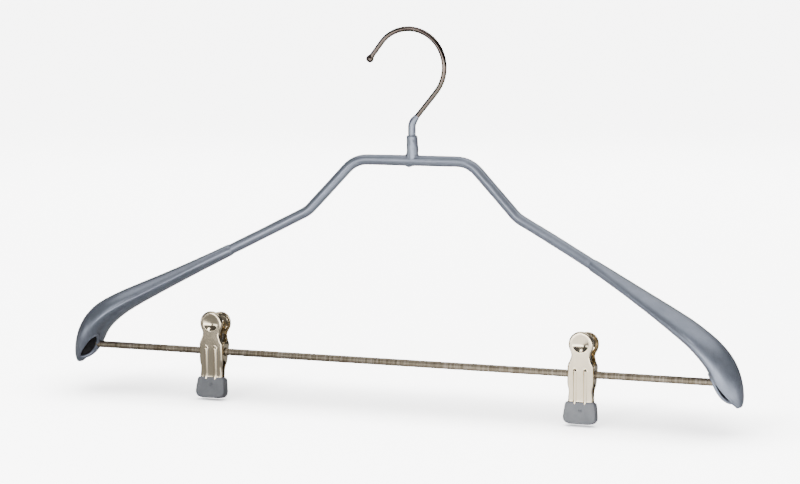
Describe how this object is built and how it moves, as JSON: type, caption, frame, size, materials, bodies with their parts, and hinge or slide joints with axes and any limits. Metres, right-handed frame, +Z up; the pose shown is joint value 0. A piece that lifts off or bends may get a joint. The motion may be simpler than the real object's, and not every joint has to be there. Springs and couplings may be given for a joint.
{
  "type": "clothes hanger",
  "caption": "Hanger with a swivelling wire hook, a coated wire frame with broad forward-swept shoulders, and a bar with sliding spring clips.",
  "frame": {"origin": "the rail seat: the inside top of the hook, on the stem's axis", "axes": "+X along the clip bar, to the right as seen from the front; -Y the front, towards which the shoulders sweep; +Z up"},
  "size_m": [0.4204, 0.0558, 0.2241],
  "materials": {
    "nickel": "polished nickel plate, slightly warm",
    "bar_steel": "nickel-plated rod with fine ribs across it, dull",
    "bare_steel": "drawn steel",
    "coating": "satin silver-grey dipped soft plastic",
    "pad_vinyl": "matt grey dipped vinyl"
  },
  "bodies": {
    "hook": {"hook_wire": "nickel", "stem_coat": "coating"},
    "frame": {"frame_wire": "bare_steel", "neck_tube": "bare_steel", "frame_coat": "coating", "left_shoulder_shell": "bare_steel", "right_shoulder_shell": "bare_steel", "left_shoulder_coat": "coating", "right_shoulder_coat": "coating", "clip_bar": "bar_steel"},
    "left_clip_slider": {"left_pivot_tube": "bare_steel"},
    "left_front_jaw": {"left_front_jaw": "nickel", "left_front_pad": "pad_vinyl", "left_spring": "bare_steel"},
    "left_rear_jaw": {"left_rear_jaw": "nickel", "left_rear_pad": "pad_vinyl"},
    "right_clip_slider": {"right_pivot_tube": "bare_steel"},
    "right_front_jaw": {"right_front_jaw": "nickel", "right_front_pad": "pad_vinyl", "right_spring": "bare_steel"},
    "right_rear_jaw": {"right_rear_jaw": "nickel", "right_rear_pad": "pad_vinyl"}
  },
  "joints": [
    {"name": "hook_swivel", "type": "hinge", "parent": "hook", "child": "frame", "pos_m": [0, 0, 0], "axis": [0, 0, 1], "continuous": true},
    {"name": "left_clip_slide", "type": "slide", "parent": "frame", "child": "left_clip_slider", "axis": [1, 0, 0], "range_m": [-0.028, 0.094]},
    {"name": "left_clip_swing", "type": "hinge", "parent": "left_clip_slider", "child": "left_front_jaw", "pos_m": [-0.114, -0.042, -0.1926], "axis": [1, 0, 0], "continuous": true},
    {"name": "left_clip_squeeze", "type": "hinge", "parent": "left_front_jaw", "child": "left_rear_jaw", "pos_m": [-0.114, -0.042, -0.1926], "axis": [1, 0, 0], "range_deg": [0, 26], "stiffness_Nm_per_rad": 0.03, "springref_deg": -17.19, "deforming": ["left_spring"]},
    {"name": "right_clip_slide", "type": "slide", "parent": "frame", "child": "right_clip_slider", "axis": [1, 0, 0], "range_m": [-0.098, 0.024]},
    {"name": "right_clip_swing", "type": "hinge", "parent": "right_clip_slider", "child": "right_front_jaw", "pos_m": [0.118, -0.042, -0.1926], "axis": [1, 0, 0], "continuous": true},
    {"name": "right_clip_squeeze", "type": "hinge", "parent": "right_front_jaw", "child": "right_rear_jaw", "pos_m": [0.118, -0.042, -0.1926], "axis": [1, 0, 0], "range_deg": [0, 26], "stiffness_Nm_per_rad": 0.03, "springref_deg": -17.19, "deforming": ["right_spring"]}
  ]
}
